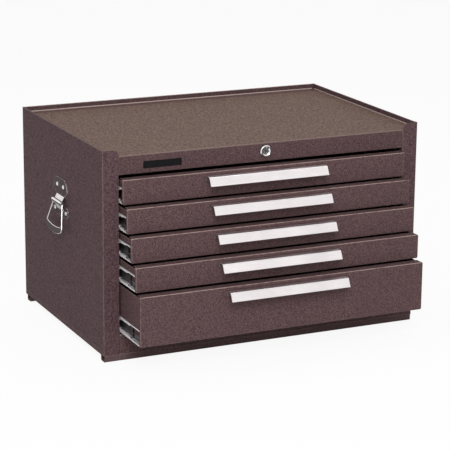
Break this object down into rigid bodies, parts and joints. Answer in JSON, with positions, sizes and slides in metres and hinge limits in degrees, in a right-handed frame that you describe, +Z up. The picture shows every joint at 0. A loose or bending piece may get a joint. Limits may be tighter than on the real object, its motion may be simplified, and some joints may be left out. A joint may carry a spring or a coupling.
{
  "type": "top tool chest",
  "caption": "Low wide steel tool chest with a rimmed top tray, telescoping drawers with full angle pulls, a front lock that works a rear bar, and swinging side handles.",
  "frame": {"origin": "middle of the cabinet's footprint, on the surface that the skids stand on", "axes": "+X to the right seen from the front, +Y to the back, +Z up; the drawers open towards -Y"},
  "size_m": [0.7286, 0.583, 0.422],
  "materials": {
    "brown_paint": "brown wrinkle enamel",
    "tray_paint": "brown wrinkle enamel, lighter and rubbed",
    "dark_paint": "dark brown enamel",
    "aluminium": "satin, drawn lengthwise",
    "zinc": "bright zinc plate",
    "chrome": "nickel-chrome plate",
    "lock_plug": "plated, worn round the keyway",
    "guide_plastic": "moulded, matt",
    "black_plate": "black, blank"
  },
  "bodies": {
    "cabinet": {"left_side_panel": "brown_paint", "right_side_panel": "brown_paint", "back_panel": "brown_paint", "top_tray": "tray_paint", "front_header": "brown_paint", "bottom_pan": "brown_paint", "front_skid": "dark_paint", "rear_skid": "dark_paint", "left_slide_posts": "brown_paint", "right_slide_posts": "brown_paint", "cabinet_slides_1": "zinc", "cabinet_slides_2": "zinc", "cabinet_slides_3": "zinc", "cabinet_slides_4": "zinc", "cabinet_slides_5": "zinc", "slide_screws": "zinc", "lock_body": "chrome", "lock_nut": "zinc", "lock_rod_hanger": "zinc", "lock_bar_guides": "guide_plastic", "blank_plate": "black_plate", "left_handle_plate": "chrome", "right_handle_plate": "chrome", "handle_rivets": "chrome"},
    "drawer_1": {"drawer_front_1": "brown_paint", "drawer_tray_1": "brown_paint", "drawer_pull_1": "aluminium", "pull_screws_1": "zinc", "drawer_slides_1": "zinc"},
    "drawer_2": {"drawer_front_2": "brown_paint", "drawer_tray_2": "brown_paint", "drawer_pull_2": "aluminium", "pull_screws_2": "zinc", "drawer_slides_2": "zinc"},
    "drawer_3": {"drawer_front_3": "brown_paint", "drawer_tray_3": "brown_paint", "drawer_pull_3": "aluminium", "pull_screws_3": "zinc", "drawer_slides_3": "zinc"},
    "drawer_4": {"drawer_front_4": "brown_paint", "drawer_tray_4": "brown_paint", "drawer_pull_4": "aluminium", "pull_screws_4": "zinc", "drawer_slides_4": "zinc"},
    "drawer_5": {"drawer_front_5": "brown_paint", "drawer_tray_5": "brown_paint", "drawer_pull_5": "aluminium", "pull_screws_5": "zinc", "drawer_slides_5": "zinc"},
    "middle_slides_1": {"middle_slides_1": "zinc"},
    "middle_slides_2": {"middle_slides_2": "zinc"},
    "middle_slides_3": {"middle_slides_3": "zinc"},
    "middle_slides_4": {"middle_slides_4": "zinc"},
    "middle_slides_5": {"middle_slides_5": "zinc"},
    "left_bail": {"left_bail": "chrome"},
    "right_bail": {"right_bail": "chrome"},
    "lock_plug": {"lock_plug": "lock_plug", "lock_rod": "zinc"},
    "lock_bar": {"lock_bar": "zinc"}
  },
  "joints": [
    {"name": "drawer_1_slide", "type": "slide", "parent": "cabinet", "child": "drawer_1", "axis": [0, -1, 0], "range_m": [-0.015, 0.365]},
    {"name": "drawer_2_slide", "type": "slide", "parent": "cabinet", "child": "drawer_2", "axis": [0, -1, 0], "range_m": [-0.03625, 0.34375]},
    {"name": "drawer_3_slide", "type": "slide", "parent": "cabinet", "child": "drawer_3", "axis": [0, -1, 0], "range_m": [-0.0575, 0.3225]},
    {"name": "drawer_4_slide", "type": "slide", "parent": "cabinet", "child": "drawer_4", "axis": [0, -1, 0], "range_m": [-0.07875, 0.30125]},
    {"name": "drawer_5_slide", "type": "slide", "parent": "cabinet", "child": "drawer_5", "axis": [0, -1, 0], "range_m": [-0.1, 0.28]},
    {"name": "middle_slides_1_run", "type": "slide", "parent": "cabinet", "child": "middle_slides_1", "axis": [0, -1, 0], "range_m": [-0.0075, 0.1825]},
    {"name": "middle_slides_2_run", "type": "slide", "parent": "cabinet", "child": "middle_slides_2", "axis": [0, -1, 0], "range_m": [-0.01812, 0.17188]},
    {"name": "middle_slides_3_run", "type": "slide", "parent": "cabinet", "child": "middle_slides_3", "axis": [0, -1, 0], "range_m": [-0.02875, 0.16125]},
    {"name": "middle_slides_4_run", "type": "slide", "parent": "cabinet", "child": "middle_slides_4", "axis": [0, -1, 0], "range_m": [-0.03938, 0.15063]},
    {"name": "middle_slides_5_run", "type": "slide", "parent": "cabinet", "child": "middle_slides_5", "axis": [0, -1, 0], "range_m": [-0.05, 0.14]},
    {"name": "left_bail_swing", "type": "hinge", "parent": "cabinet", "child": "left_bail", "pos_m": [-0.352, 0, 0.271], "axis": [0, 1, 0], "range_deg": [0, 90]},
    {"name": "right_bail_swing", "type": "hinge", "parent": "cabinet", "child": "right_bail", "pos_m": [0.352, 0, 0.271], "axis": [0, -1, 0], "range_deg": [0, 90]},
    {"name": "lock_turn", "type": "hinge", "parent": "cabinet", "child": "lock_plug", "pos_m": [0, -0.2275, 0.392], "axis": [0, 1, 0], "range_deg": [0, 90]},
    {"name": "lock_bar_drop", "type": "slide", "parent": "cabinet", "child": "lock_bar", "axis": [0, 0, -1], "range_m": [0, 0.01414]}
  ],
  "couplings": [
    {"joint": "middle_slides_1_run", "follows": "drawer_1_slide", "ratio": 0.5},
    {"joint": "middle_slides_2_run", "follows": "drawer_2_slide", "ratio": 0.5},
    {"joint": "middle_slides_3_run", "follows": "drawer_3_slide", "ratio": 0.5},
    {"joint": "middle_slides_4_run", "follows": "drawer_4_slide", "ratio": 0.5},
    {"joint": "middle_slides_5_run", "follows": "drawer_5_slide", "ratio": 0.5},
    {"joint": "lock_turn", "follows": "lock_bar_drop", "rad_per_m": 111.07}
  ]
}
